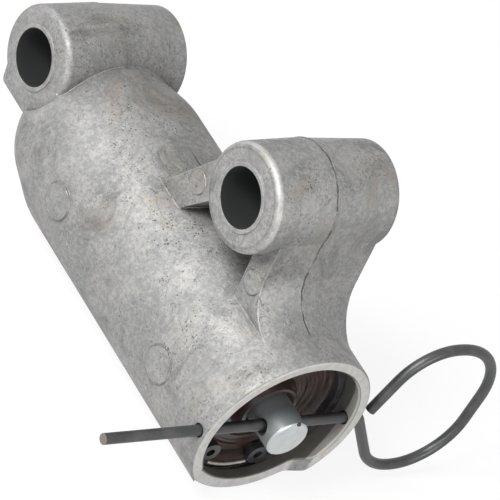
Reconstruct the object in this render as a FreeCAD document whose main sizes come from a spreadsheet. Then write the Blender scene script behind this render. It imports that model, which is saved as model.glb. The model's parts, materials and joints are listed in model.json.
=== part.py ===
import FreeCAD, Part
import math
import os
import Sketcher

# Hydraulic belt tensioner: a die-cast barrel with two bolt bosses, a sprung
# push rod behind an oil seal, and the wire pin that locks the rod for fitting.
#
# Every piece is drawn in the barrel's own frame: X runs along the barrel
# towards its open end and is zero abeam the end bolt, Y is zero on the
# casting's parting plane and grows towards the engine, Z is zero on the
# barrel's axis and grows towards the offset boss.  The placement then puts the
# origin on the end bolt's axis, in the plane of the mounting faces.

doc = FreeCAD.newDocument("belt_tensioner")
sheet = doc.addObject("Spreadsheet::Sheet", "dims")

SIZES = {
    # cast barrel
    "barrel_radius": 17.3,
    "rim_x": 81.5,
    "nose_x": -0.6,
    "nose_step": 4.4,
    "nose_round": 13.0,
    "cone_end_x": 17.0,
    "cone_round": 15.0,
    "rim_round": 0.7,
    "mouth_wall": 2.4,
    "mouth_chamfer": 0.4,
    "chamber_radius": 12.5,
    "chamber_floor_x": 9.0,
    "sleeve_pocket_depth": 2.0,
    # bolt bosses and the arm between barrel and offset boss
    "bolt_hole_radius": 5.25,
    "boss_radius": 9.5,
    "boss_front": 12.8,
    "boss_back": 14.25,
    "boss_front_draft": 1.5,
    "boss_back_draft": 1.8,
    "boss_edge_round": 1.3,
    "boss_back_round": 0.4,
    "boss_shift": 0.25,
    "die_mismatch": 0.1,
    "lip_radius": 6.05,
    "lip_height": 0.25,
    "end_boss_z": 9.5,
    "skirt_left": 4.6,
    "skirt_right": 10.0,
    "skirt_drop": 10.0,
    "skirt_round": 1.5,
    "offset_boss_setback": 24.3,
    "offset_boss_height": 15.1,
    "arm_front": 8.4,
    "arm_setback": 1.0,
    "arm_draft": 4.0,
    "arm_root_depth": 7.3,
    "upper_leg_spread": 24.4,
    "upper_leg_width": 7.2,
    "lower_leg_spread": 6.5,
    "lower_leg_lean": 3.5,
    "lower_leg_width": 5.8,
    "lower_leg_root_round": 8.0,
    "upper_leg_root_round": 2.0,
    # notch in the rim, ejector marks and lock pin holes
    "notch_depth": 2.5,
    "notch_floor_half": 10.0,
    "notch_rim_half": 12.8,
    "notch_round": 2.0,
    "mark_radius": 3.4,
    "mark_height": 0.2,
    "front_mark_x": 26.2,
    "rear_mark_setback": 16.7,
    "arm_mark_radius": 2.2,
    "arm_mark_height": 0.15,
    "pin_setback": 1.8,
    "pin_hole_radius": 1.25,
    # lock pin
    "pin_radius": 1.0,
    "pin_tip_y": -37.4,
    "loop_start_y": 18.3,
    "loop_slant": 53.0,
    "loop_right_y": 45.8,
    "loop_bottom_z": -14.6,
    "loop_top_z": 15.6,
    "loop_entry_round": 2.5,
    "loop_low_round": 10.8,
    "loop_high_round": 13.2,
    "loop_return_round": 10.0,
    "loop_return_slant": 16.0,
    "loop_end_z": 1.2,
    # retaining ring
    "clip_setback": 4.5,
    "clip_thickness": 1.3,
    "clip_radial_width": 2.6,
    "clip_groove_depth": 1.1,
    "clip_lug_circle": 12.4,
    "clip_lug_radius": 2.0,
    "clip_hole_radius": 0.85,
    "clip_lug_angle": 28.0,
    "clip_turn": 9.0,
    # seal and rod guide
    "seal_thickness": 6.0,
    "seal_dish": 1.0,
    "seal_rim_width": 2.0,
    "seal_collar_radius": 6.4,
    "seal_collar_height": 2.2,
    "seal_collar_wall": 0.7,
    "seal_ring_width": 0.7,
    "seal_ring_height": 0.35,
    "seal_ring_spacing": 2.2,
    "seal_cavity_depth": 2.8,
    "insert_thickness": 1.2,
    "insert_inner_radius": 8.0,
    "insert_cover": 1.28,
    "garter_circle": 5.8,
    "garter_wire": 0.6,
    "garter_setback": 0.6,
    "guide_thickness": 3.6,
    # push rod, spring seat and wear ring
    "rod_radius": 3.95,
    "rod_reach": 2.0,
    "rod_tip_chamfer": 0.25,
    "rod_hole_radius": 1.5,
    "collar_radius": 6.5,
    "collar_x": 43.0,
    "collar_length": 3.0,
    "seat_thickness": 2.0,
    "seat_skirt_length": 4.0,
    "seat_skirt_wall": 0.7,
    "wear_ring_wall": 1.1,
    "wear_ring_length": 5.0,
    # pressure cylinder, plunger and check valve
    "sleeve_wall": 2.0,
    "sleeve_bore": 6.0,
    "sleeve_length": 28.0,
    "plunger_x": 15.0,
    "plunger_length": 23.0,
    "valve_pocket_radius": 4.5,
    "valve_pocket_depth": 9.0,
    "oil_way_radius": 1.5,
    "valve_seat_thickness": 2.5,
    "valve_port_radius": 1.3,
    "ball_radius": 2.0,
    "cage_wall": 0.8,
    "cage_floor": 0.7,
    "cage_length": 6.0,
    "cage_port_radius": 1.2,
    # springs
    "return_spring_circle": 9.4,
    "return_spring_wire": 1.1,
    "return_spring_turns": 5.0,
    "plunger_spring_circle": 5.2,
    "plunger_spring_wire": 0.5,
    "plunger_spring_turns": 3.5,
    "ball_spring_circle": 1.6,
    "ball_spring_wire": 0.2,
    "ball_spring_turns": 2.0,
    # fits, all radial or face to face
    "running_gap": 0.04,
    "seat_gap": 0.02,
    "spring_gap": 0.05,
    "pin_gap": 0.03,
}

for row, (alias, size) in enumerate(SIZES.items(), start=1):
    sheet.set(f"A{row}", alias)
    sheet.set(f"B{row}", str(size))
    sheet.setAlias(f"B{row}", alias)
doc.recompute()

# Places and radii that follow from the sizes, shared by the pieces that meet.
fits = doc.addObject("App::VarSet", "fits")
FIT_RULES = {
    "nose_radius": "dims.barrel_radius - dims.nose_step",
    "offset_boss_x": "dims.rim_x - dims.offset_boss_setback",
    "offset_boss_z": "dims.barrel_radius + dims.offset_boss_height",
    "arm_root_z": "dims.barrel_radius - dims.arm_root_depth",
    "upper_leg_foot_x": "fits.offset_boss_x - dims.upper_leg_spread",
    "lower_leg_foot_x": "fits.offset_boss_x + dims.lower_leg_spread",
    "rear_mark_x": "dims.rim_x - dims.rear_mark_setback",
    "pin_x": "dims.rim_x - dims.pin_setback",
    "clip_front_x": "dims.rim_x - dims.clip_setback",
    "rod_tip_x": "dims.rim_x + dims.rod_reach",
    "mouth_radius": "dims.barrel_radius - dims.mouth_wall",
    "groove_radius": "fits.mouth_radius + dims.clip_groove_depth",
    "clip_back_x": "fits.clip_front_x - dims.clip_thickness",
    "seal_front_x": "fits.clip_back_x - dims.seat_gap",
    "seal_back_x": "fits.seal_front_x - dims.seal_thickness",
    "guide_front_x": "fits.seal_back_x - dims.seat_gap",
    "guide_back_x": "fits.guide_front_x - dims.guide_thickness",
    "shoulder_x": "fits.guide_back_x - dims.seat_gap",
    "mouth_fit": "fits.mouth_radius - dims.seat_gap",
    "insert_outer_radius": "fits.mouth_fit - dims.insert_cover",
    "insert_front_x": "fits.seal_back_x + dims.insert_thickness",
    "rod_bore": "dims.rod_radius + dims.running_gap",
    "collar_front_x": "dims.collar_x + dims.collar_length",
    "seat_back_x": "dims.collar_x - dims.seat_thickness",
    "skirt_back_x": "fits.seat_back_x - dims.seat_skirt_length",
    "ring_outer": "dims.chamber_radius - dims.running_gap",
    "ring_inner": "fits.ring_outer - dims.wear_ring_wall",
    "seat_outer": "fits.ring_inner - dims.seat_gap",
    "skirt_inner": "fits.seat_outer - dims.seat_skirt_wall",
    "sleeve_floor_x": "dims.chamber_floor_x - dims.sleeve_pocket_depth",
    "sleeve_outer": "dims.sleeve_bore + dims.sleeve_wall",
    "sleeve_pocket": "fits.sleeve_outer + dims.seat_gap",
    "sleeve_back_x": "fits.sleeve_floor_x + dims.seat_gap",
    "sleeve_front_x": "fits.sleeve_back_x + dims.sleeve_length",
    "plunger_radius": "dims.sleeve_bore - dims.running_gap",
    "plunger_front_x": "dims.plunger_x + dims.plunger_length",
    "valve_pocket_x": "dims.plunger_x + dims.valve_pocket_depth",
    "valve_seat_front_x": "fits.valve_pocket_x - dims.seat_gap",
    "valve_seat_x": "fits.valve_seat_front_x - dims.valve_seat_thickness",
    "valve_fit": "dims.valve_pocket_radius - dims.seat_gap",
    "ball_x": "fits.valve_seat_x - sqrt(dims.ball_radius ^ 2 - dims.valve_port_radius ^ 2)"
              " - dims.seat_gap",
    "cage_front_x": "fits.valve_seat_x - dims.seat_gap",
    "cage_back_x": "fits.cage_front_x - dims.cage_length",
    "cage_inside_x": "fits.cage_back_x + dims.cage_floor",
    "cage_inner": "fits.valve_fit - dims.cage_wall",
    "rod_foot_x": "fits.plunger_front_x + dims.seat_gap",
    "rod_hole_x": "fits.pin_x + dims.rod_hole_radius - dims.pin_radius - dims.pin_gap",
    "notch_x": "dims.rim_x - dims.notch_depth",
    "arm_back": "dims.boss_back - dims.arm_setback",
    "boss_front_radius": "dims.boss_radius + dims.boss_front * tan(dims.boss_front_draft)",
    "boss_back_radius": "fits.boss_front_radius - dims.die_mismatch",
    "garter_x": "fits.seal_back_x + dims.garter_setback + dims.garter_wire + dims.seat_gap",
    "garter_floor": "dims.garter_circle - dims.garter_wire - dims.seat_gap",
    "seal_face_x": "fits.seal_front_x - dims.seal_dish",
    "ball_spring_end_x": "fits.ball_x + dims.ball_spring_wire - sqrt((dims.ball_radius"
                         " + dims.ball_spring_wire) ^ 2 - dims.ball_spring_circle ^ 2)",
}
for name, rule in FIT_RULES.items():
    fits.addProperty("App::PropertyFloat", name, "Fits")
    fits.setExpression(name, rule)
doc.recompute()

bodies = []


def size(alias):
    """Read one cell of the sheet as a number."""
    return float(getattr(sheet, alias))


def place(piece, label):
    """Name a finished piece and move it from the barrel's frame to the part's."""
    piece.Label = label
    piece.setExpression("Placement.Base.y", "-dims.boss_back")
    piece.setExpression("Placement.Base.z", "-dims.end_boss_z")
    bodies.append(piece)


def new_sketch(body, name, role, offset=None):
    """Attach a sketch to one of the body's origin planes, moved along its normal."""
    sketch = body.newObject("Sketcher::SketchObject", name)
    support = [plane for plane in body.Origin.OriginFeatures if plane.Role == role][0]
    sketch.AttachmentSupport = [(support, "")]
    sketch.MapMode = "FlatFace"
    if offset is not None:
        sketch.setExpression("AttachmentOffset.Base.z", offset)
    return sketch


def hold(sketch, element, point, across, up):
    """Tie a point of a sketch to two expressions, measured from the origin."""
    for kind, rule, axis in (("DistanceX", across, -2), ("DistanceY", up, -1)):
        if rule == "0":
            sketch.addConstraint(Sketcher.Constraint("PointOnObject", element, point, axis))
            continue
        number = sketch.addConstraint(Sketcher.Constraint(kind, -1, 1, element, point, 1.0))
        sketch.setExpression(f"Constraints[{number}]", rule)


def round_corner(sketch, element, point, radius):
    """Round the corner at one end of a straight with an arc of a given radius."""
    start = size(radius.removeprefix("dims."))
    sketch.fillet(element, point, start, True, True)
    arc = sketch.GeometryCount - 2
    number = sketch.addConstraint(Sketcher.Constraint("Radius", arc, start))
    sketch.setExpression(f"Constraints[{number}]", radius)


def add_polygon(sketch, corners):
    """Draw a closed outline from pairs of expressions, a third one rounding the corner."""
    count = len(corners)
    first = sketch.GeometryCount
    spread = []
    for index in range(count):
        turn = 2.0 * math.pi * index / count
        spread.append(FreeCAD.Vector(math.cos(turn), math.sin(turn), 0.0))
    for index in range(count):
        sketch.addGeometry(Part.LineSegment(spread[index], spread[(index + 1) % count]))
    for index in range(count):
        after = first + (index + 1) % count
        sketch.addConstraint(Sketcher.Constraint("Coincident", first + index, 2, after, 1))
    for index, corner in enumerate(corners):
        hold(sketch, first + index, 1, corner[0], corner[1])
    doc.recompute()
    for index, corner in enumerate(corners):
        if len(corner) == 3:
            round_corner(sketch, first + index, 1, corner[2])


def add_bent_line(sketch, corners):
    """Draw an open path of straights, rounded at each corner that has a radius."""
    for index in range(len(corners) - 1):
        step = FreeCAD.Vector(float(index), float(index % 2), 0.0)
        after = FreeCAD.Vector(float(index + 1), float((index + 1) % 2), 0.0)
        sketch.addGeometry(Part.LineSegment(step, after))
    for index in range(len(corners) - 2):
        sketch.addConstraint(Sketcher.Constraint("Coincident", index, 2, index + 1, 1))
    for index, (across, up, _) in enumerate(corners[:-1]):
        hold(sketch, index, 1, across, up)
    hold(sketch, len(corners) - 2, 2, corners[-1][0], corners[-1][1])
    doc.recompute()
    for index, (_, _, radius) in enumerate(corners[1:-1]):
        round_corner(sketch, index, 2, radius)


def add_circle(sketch, across, up, radius):
    """Draw a circle from three expressions."""
    element = sketch.addGeometry(Part.Circle(FreeCAD.Vector(), FreeCAD.Vector(0, 0, 1), 1.0))
    hold(sketch, element, 3, across, up)
    number = sketch.addConstraint(Sketcher.Constraint("Radius", element, 1.0))
    sketch.setExpression(f"Constraints[{number}]", radius)


def revolve(body, name, corners, kind="Revolution"):
    """Turn a profile of (along, radius) pairs about the barrel's axis."""
    sketch = new_sketch(body, f"{name}_profile", "XZ_Plane")
    add_polygon(sketch, corners)
    feature = body.newObject(f"PartDesign::{kind}", name)
    feature.Profile = sketch
    feature.ReferenceAxis = (sketch, ["H_Axis"])
    feature.Angle = 360.0
    doc.recompute()
    return feature


def turned_piece(label, corners):
    """Make a body that is one turned profile."""
    body = doc.addObject("PartDesign::Body", label)
    revolve(body, f"{label}_turning", corners)
    place(body, label)
    return body


def extrude(body, name, sketch, lengths, tapers=None, kind="Pad"):
    """Pad or pocket a sketch to one side, or to both when two lengths are given."""
    feature = body.newObject(f"PartDesign::{kind}", name)
    feature.Profile = sketch
    feature.Type = "Length"
    feature.SideType = "Two sides" if len(lengths) == 2 else "One side"
    for number, rule in enumerate(lengths):
        feature.setExpression("Length" if number == 0 else "Length2", rule)
    for number, rule in enumerate(tapers or ()):
        feature.setExpression("TaperAngle" if number == 0 else "TaperAngle2", rule)
    doc.recompute()
    return feature


def soften(body, name, base, chosen, radius, kind="Fillet"):
    """Round or chamfer the edges of a feature that a test picks."""
    edges = [f"Edge{number}" for number, edge in enumerate(base.Shape.Edges, start=1)
             if chosen(edge)]
    feature = body.newObject(f"PartDesign::{kind}", name)
    feature.Base = (base, edges)
    feature.setExpression("Radius" if kind == "Fillet" else "Size", radius)
    doc.recompute()
    return feature


def near(value, target, room=0.02):
    """Say whether two lengths agree."""
    return abs(value - target) < room


def turn_boss(body, name, along, up):
    """Turn a bolt boss about its own axis, widest at the parting plane."""
    sketch = new_sketch(body, f"{name}_profile", "YZ_Plane", along)
    add_polygon(sketch, [
        ("-dims.boss_front", up),
        ("-dims.boss_front", f"{up} + dims.boss_radius", "dims.boss_edge_round"),
        ("0", f"{up} + fits.boss_front_radius"),
        ("0", f"{up} + fits.boss_back_radius"),
        ("dims.boss_back",
         f"{up} + fits.boss_back_radius - dims.boss_back * tan(dims.boss_back_draft)",
         "dims.boss_back_round"),
        ("dims.boss_back", up),
    ])
    axis = sketch.addGeometry(Part.LineSegment(FreeCAD.Vector(-1, 1, 0),
                                               FreeCAD.Vector(1, 1, 0)), True)
    hold(sketch, axis, 1, "-dims.boss_front", up)
    hold(sketch, axis, 2, "dims.boss_back", up)
    boss = body.newObject("PartDesign::Revolution", name)
    boss.Profile = sketch
    boss.ReferenceAxis = (sketch, ["Axis0"])
    boss.Angle = 360.0
    doc.recompute()


def leg_root(edge, low_x, high_x):
    """Say whether an edge is where a leg's outer flank meets the barrel."""
    middle = edge.valueAt((edge.FirstParameter + edge.LastParameter) / 2.0)
    along = low_x < middle.x < high_x
    on_barrel = near(math.hypot(middle.y, middle.z), size("barrel_radius"), 0.05)
    inside_arm = -size("arm_front") < middle.y < fits.arm_back
    crossing = abs(edge.BoundBox.YLength) > size("arm_front") * 0.8
    return along and on_barrel and inside_arm and crossing and middle.z > 0.0


def make_housing():
    """Cast the barrel, bosses and arm, then machine the bores and the notch."""
    body = doc.addObject("PartDesign::Body", "housing")
    revolve(body, "barrel", [
        ("dims.nose_x", "0"),
        ("dims.nose_x", "-fits.nose_radius", "dims.nose_round"),
        ("dims.cone_end_x", "-dims.barrel_radius", "dims.cone_round"),
        ("dims.rim_x", "-dims.barrel_radius", "dims.rim_round"),
        ("dims.rim_x", "0"),
    ])

    # The two legs of the arm stand on the barrel and end inside the offset boss.
    legs = {
        "upper_leg": [
            ("fits.upper_leg_foot_x", "fits.arm_root_z"),
            ("fits.offset_boss_x - dims.boss_radius * sin(60)",
             "fits.offset_boss_z + dims.boss_radius * cos(60)"),
            ("fits.offset_boss_x - dims.boss_radius * sin(60) + dims.upper_leg_width",
             "fits.offset_boss_z"),
            ("fits.upper_leg_foot_x + dims.upper_leg_width", "fits.arm_root_z"),
        ],
        "lower_leg": [
            ("fits.lower_leg_foot_x", "fits.arm_root_z"),
            ("fits.lower_leg_foot_x - dims.lower_leg_lean", "fits.offset_boss_z"),
            ("fits.offset_boss_x + dims.boss_radius", "fits.offset_boss_z"),
            ("fits.lower_leg_foot_x + dims.lower_leg_width", "fits.arm_root_z"),
        ],
    }
    for name, corners in legs.items():
        sketch = new_sketch(body, f"{name}_outline", "XZ_Plane")
        add_polygon(sketch, corners)
        latest = extrude(body, name, sketch, ("dims.arm_front", "fits.arm_back"),
                         ("-dims.arm_draft", "-dims.arm_draft"))

    foot = fits.lower_leg_foot_x + size("lower_leg_width")
    latest = soften(body, "lower_leg_root", latest,
                    lambda edge: leg_root(edge, foot - 3.0, foot + 3.0),
                    "dims.lower_leg_root_round")
    foot = fits.upper_leg_foot_x + size("upper_leg_width") / 2.0
    latest = soften(body, "upper_leg_root", latest,
                    lambda edge: leg_root(edge, foot - 4.0, foot + 3.0),
                    "dims.upper_leg_root_round")

    # Each boss is drawn on the parting plane and drafts towards both faces.
    turn_boss(body, "end_boss", "dims.boss_shift", "dims.end_boss_z + dims.boss_shift")
    turn_boss(body, "offset_boss", "fits.offset_boss_x", "fits.offset_boss_z")
    sketch = new_sketch(body, "end_boss_skirt_outline", "XZ_Plane")
    add_polygon(sketch, [
        ("-dims.skirt_left", "dims.end_boss_z - dims.skirt_drop", "dims.skirt_round"),
        ("dims.skirt_right", "dims.end_boss_z - dims.skirt_drop"),
        ("dims.skirt_right", "dims.end_boss_z"),
        ("0", "dims.end_boss_z"),
        ("-dims.skirt_left * 1.2", "dims.end_boss_z - dims.skirt_drop * 0.65"),
    ])
    extrude(body, "end_boss_skirt", sketch, ("dims.boss_front", "dims.boss_back"),
            ("-dims.boss_front_draft", "-dims.boss_back_draft"))

    # The end boss is spot-faced where the barrel's dome would stand proud of it.
    sketch = new_sketch(body, "spot_face_outline", "XZ_Plane", "dims.boss_front")
    add_circle(sketch, "0", "dims.end_boss_z", "dims.boss_radius")
    spot = extrude(body, "spot_face", sketch, ("dims.barrel_radius",), kind="Pocket")
    spot.Reversed = True
    doc.recompute()

    bores = [("0", "dims.end_boss_z"), ("fits.offset_boss_x", "fits.offset_boss_z")]
    sketch = new_sketch(body, "lip_outline", "XZ_Plane", "dims.boss_front")
    for across, up in bores:
        add_circle(sketch, across, up, "dims.lip_radius")
    latest = extrude(body, "bore_lips", sketch, ("dims.lip_height",))

    # Ejector pins leave flat discs on the barrel and on both legs.
    sketch = new_sketch(body, "barrel_mark_outline", "XZ_Plane")
    add_circle(sketch, "dims.front_mark_x", "0", "dims.mark_radius")
    add_circle(sketch, "fits.rear_mark_x", "0", "dims.mark_radius")
    latest = extrude(body, "barrel_marks", sketch, ("dims.barrel_radius + dims.mark_height",))
    sketch = new_sketch(body, "arm_mark_outline", "XZ_Plane")
    add_circle(sketch, "fits.upper_leg_foot_x + dims.upper_leg_width * 1.5",
               "dims.barrel_radius + dims.arm_mark_radius * 2.2", "dims.arm_mark_radius")
    add_circle(sketch, "fits.lower_leg_foot_x + dims.lower_leg_width * 0.27",
               "dims.barrel_radius + dims.arm_mark_radius * 1.3", "dims.arm_mark_radius")
    latest = extrude(body, "arm_marks", sketch, ("dims.arm_front + dims.arm_mark_height",))

    sketch = new_sketch(body, "bolt_bore_outline", "XZ_Plane", "-dims.boss_back")
    for across, up in bores:
        add_circle(sketch, across, up, "dims.bolt_hole_radius")
    latest = extrude(body, "bolt_bores", sketch,
                     ("dims.boss_front + dims.boss_back + 2 * dims.lip_height",), kind="Pocket")
    latest.Reversed = True
    doc.recompute()

    # Stepped bore: sleeve pocket, spring chamber, seal seat with its clip groove.
    latest = revolve(body, "stepped_bore", [
        ("fits.sleeve_floor_x", "0"),
        ("fits.sleeve_floor_x", "fits.sleeve_pocket"),
        ("dims.chamber_floor_x", "fits.sleeve_pocket"),
        ("dims.chamber_floor_x", "dims.chamber_radius"),
        ("fits.shoulder_x", "dims.chamber_radius"),
        ("fits.shoulder_x", "fits.mouth_radius"),
        ("fits.clip_back_x - dims.seat_gap", "fits.mouth_radius"),
        ("fits.clip_back_x - dims.seat_gap", "fits.groove_radius"),
        ("fits.clip_front_x + dims.seat_gap", "fits.groove_radius"),
        ("fits.clip_front_x + dims.seat_gap", "fits.mouth_radius"),
        ("dims.rim_x - dims.mouth_chamfer", "fits.mouth_radius"),
        ("dims.rim_x", "fits.mouth_radius + dims.mouth_chamfer"),
        ("dims.rim_x", "0"),
    ], kind="Groove")

    # The rim is notched on the side away from the offset boss.
    sketch = new_sketch(body, "notch_outline", "XY_Plane", "-dims.notch_rim_half / 2")
    add_polygon(sketch, [
        ("fits.notch_x", "-dims.notch_floor_half", "dims.notch_round"),
        ("dims.rim_x", "-dims.notch_rim_half", "dims.notch_round"),
        ("dims.rim_x", "-dims.barrel_radius"),
        ("dims.rim_x + dims.notch_depth", "-dims.barrel_radius"),
        ("dims.rim_x + dims.notch_depth", "dims.barrel_radius"),
        ("dims.rim_x", "dims.barrel_radius"),
        ("dims.rim_x", "dims.notch_rim_half", "dims.notch_round"),
        ("fits.notch_x", "dims.notch_floor_half", "dims.notch_round"),
    ])
    extrude(body, "rim_notch", sketch, ("dims.barrel_radius",), kind="Pocket")

    # The lock pin crosses the barrel through both walls.
    sketch = new_sketch(body, "pin_hole_outline", "XZ_Plane")
    add_circle(sketch, "fits.pin_x", "0", "dims.pin_hole_radius")
    latest = extrude(body, "pin_holes", sketch, ("2 * dims.barrel_radius",) * 2, kind="Pocket")
    place(body, "housing")
    return body


def make_lock_pin():
    """Bend the lock pin: a straight shank and a finger loop closed on itself."""
    body = doc.addObject("PartDesign::Body", "lock_pin")
    path = new_sketch(body, "pin_path", "YZ_Plane", "fits.pin_x")
    loop_return = "dims.loop_start_y + 2 * dims.pin_radius + dims.pin_gap"
    corners = [
        ("dims.pin_tip_y", "0", None),
        ("dims.loop_start_y", "0", "dims.loop_entry_round"),
        ("dims.loop_start_y - dims.loop_bottom_z / tan(dims.loop_slant)",
         "dims.loop_bottom_z", "dims.loop_low_round"),
        ("dims.loop_right_y", "dims.loop_bottom_z", "dims.loop_low_round"),
        ("dims.loop_right_y", "dims.loop_top_z", "dims.loop_high_round"),
        (f"{loop_return} + (dims.loop_top_z - dims.loop_end_z) * tan(dims.loop_return_slant)",
         "dims.loop_top_z", "dims.loop_return_round"),
        (loop_return, "dims.loop_end_z", None),
    ]
    add_bent_line(path, corners)
    section = new_sketch(body, "pin_section", "XZ_Plane", "-dims.pin_tip_y")
    add_circle(section, "fits.pin_x", "0", "dims.pin_radius")
    wire = body.newObject("PartDesign::AdditivePipe", "bent_wire")
    wire.Profile = section
    wire.Spine = path
    doc.recompute()
    place(body, "lock_pin")


def make_push_rod():
    """Turn the push rod with its collar and cross-drill it for the lock pin."""
    body = doc.addObject("PartDesign::Body", "push_rod")
    revolve(body, "rod_turning", [
        ("fits.rod_foot_x", "0"),
        ("fits.rod_foot_x", "dims.rod_radius"),
        ("dims.collar_x", "dims.rod_radius"),
        ("dims.collar_x", "dims.collar_radius"),
        ("fits.collar_front_x", "dims.collar_radius"),
        ("fits.collar_front_x", "dims.rod_radius"),
        ("fits.rod_tip_x - dims.rod_tip_chamfer", "dims.rod_radius"),
        ("fits.rod_tip_x", "dims.rod_radius - dims.rod_tip_chamfer"),
        ("fits.rod_tip_x", "0"),
    ])
    sketch = new_sketch(body, "cross_hole_outline", "XZ_Plane")
    add_circle(sketch, "fits.rod_hole_x", "0", "dims.rod_hole_radius")
    extrude(body, "cross_hole", sketch, ("2 * dims.rod_radius",) * 2, kind="Pocket")
    place(body, "push_rod")


def make_oil_seal():
    """Mould the oil seal: a dished face with two beads, a dust collar and an oil lip."""
    shoulder = "dims.garter_circle + dims.garter_wire / 2"
    groove_back = "fits.garter_x - dims.garter_wire - dims.seat_gap"
    groove_front = "fits.garter_x + dims.garter_wire + dims.seat_gap"
    cavity = "fits.seal_back_x + dims.seal_cavity_depth"
    collar_tip = "fits.seal_face_x + dims.seal_collar_height"
    profile = [
        ("fits.seal_back_x", "fits.rod_bore"),
        ("fits.seal_back_x", shoulder),
        (groove_back, shoulder),
        (groove_back, "fits.garter_floor"),
        (groove_front, "fits.garter_floor"),
        (groove_front, shoulder),
        (cavity, shoulder),
        (cavity, "dims.insert_inner_radius"),
        ("fits.insert_front_x", "dims.insert_inner_radius"),
        ("fits.insert_front_x", "fits.insert_outer_radius + dims.seat_gap"),
        ("fits.seal_back_x", "fits.insert_outer_radius + dims.seat_gap"),
        ("fits.seal_back_x", "fits.mouth_fit"),
        ("fits.seal_front_x", "fits.mouth_fit"),
        ("fits.seal_front_x", "fits.mouth_fit - dims.seal_rim_width"),
        ("fits.seal_face_x", "fits.mouth_fit - dims.seal_rim_width - dims.seal_dish / 2"),
    ]
    for bead in (2, 1):
        middle = f"dims.seal_collar_radius + {bead} * dims.seal_ring_spacing"
        profile += [
            ("fits.seal_face_x", f"{middle} + dims.seal_ring_width / 2"),
            ("fits.seal_face_x + dims.seal_ring_height", f"{middle} + dims.seal_ring_width / 4"),
            ("fits.seal_face_x + dims.seal_ring_height", f"{middle} - dims.seal_ring_width / 4"),
            ("fits.seal_face_x", f"{middle} - dims.seal_ring_width / 2"),
        ]
    profile += [
        ("fits.seal_face_x", "dims.seal_collar_radius"),
        (collar_tip, "fits.rod_bore + dims.seal_collar_wall * 2"),
        (collar_tip, "fits.rod_bore + dims.seal_collar_wall"),
        ("fits.seal_face_x + dims.seal_collar_height / 2", "fits.rod_bore"),
    ]
    turned_piece("oil_seal", profile)


def make_garter_spring():
    """Close the garter spring, drawn as a plain ring of its outer size."""
    body = doc.addObject("PartDesign::Body", "garter_spring")
    sketch = new_sketch(body, "garter_section", "XZ_Plane")
    add_circle(sketch, "fits.garter_x", "dims.garter_circle", "dims.garter_wire")
    ring = body.newObject("PartDesign::Revolution", "garter_ring")
    ring.Profile = sketch
    ring.ReferenceAxis = (sketch, ["H_Axis"])
    ring.Angle = 360.0
    doc.recompute()
    place(body, "garter_spring")


def make_retaining_ring():
    """Stamp the internal retaining ring with its two eared ends."""
    body = doc.addObject("PartDesign::Body", "retaining_ring")
    outer = "fits.groove_radius - dims.seat_gap"
    sketch = new_sketch(body, "ring_outline", "YZ_Plane", "fits.clip_back_x")
    add_circle(sketch, "0", "0", outer)
    add_circle(sketch, "0", "0", f"{outer} - dims.clip_radial_width")
    extrude(body, "ring_band", sketch, ("dims.clip_thickness",))
    ears = []
    for sign in ("-", "+"):
        angle = f"({sign}dims.clip_lug_angle - dims.clip_turn)"
        ears.append((f"dims.clip_lug_circle * sin({angle})",
                     f"-dims.clip_lug_circle * cos({angle})"))
    sketch = new_sketch(body, "gap_outline", "YZ_Plane", "fits.clip_back_x")
    add_polygon(sketch, [("0", "0")] + [(f"2 * {across}", f"2 * {up}") for across, up in ears])
    extrude(body, "ring_gap", sketch, ("dims.clip_thickness",), kind="Pocket").Reversed = True
    doc.recompute()
    sketch = new_sketch(body, "ear_outline", "YZ_Plane", "fits.clip_back_x")
    for across, up in ears:
        add_circle(sketch, across, up, "dims.clip_lug_radius")
    extrude(body, "ears", sketch, ("dims.clip_thickness",))
    sketch = new_sketch(body, "ear_hole_outline", "YZ_Plane", "fits.clip_back_x")
    for across, up in ears:
        add_circle(sketch, across, up, "dims.clip_hole_radius")
    extrude(body, "ear_holes", sketch, ("dims.clip_thickness",), kind="Pocket").Reversed = True
    doc.recompute()
    place(body, "retaining_ring")


def make_coil(label, start_x, end_x, circle, wire, turns):
    """Wind a compression spring between two stations on the barrel's axis."""
    body = doc.addObject("PartDesign::Body", label)
    sketch = new_sketch(body, f"{label}_wire", "XZ_Plane")
    add_circle(sketch, f"{start_x} + {wire} + dims.spring_gap", circle, wire)
    coil = body.newObject("PartDesign::AdditiveHelix", f"{label}_coil")
    coil.Profile = sketch
    coil.ReferenceAxis = (sketch, ["H_Axis"])
    coil.Mode = "height-turns-angle"
    coil.setExpression("Height", f"{end_x} - {start_x} - 2 * ({wire} + dims.spring_gap)")
    coil.setExpression("Turns", turns)
    doc.recompute()
    place(body, label)


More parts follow.
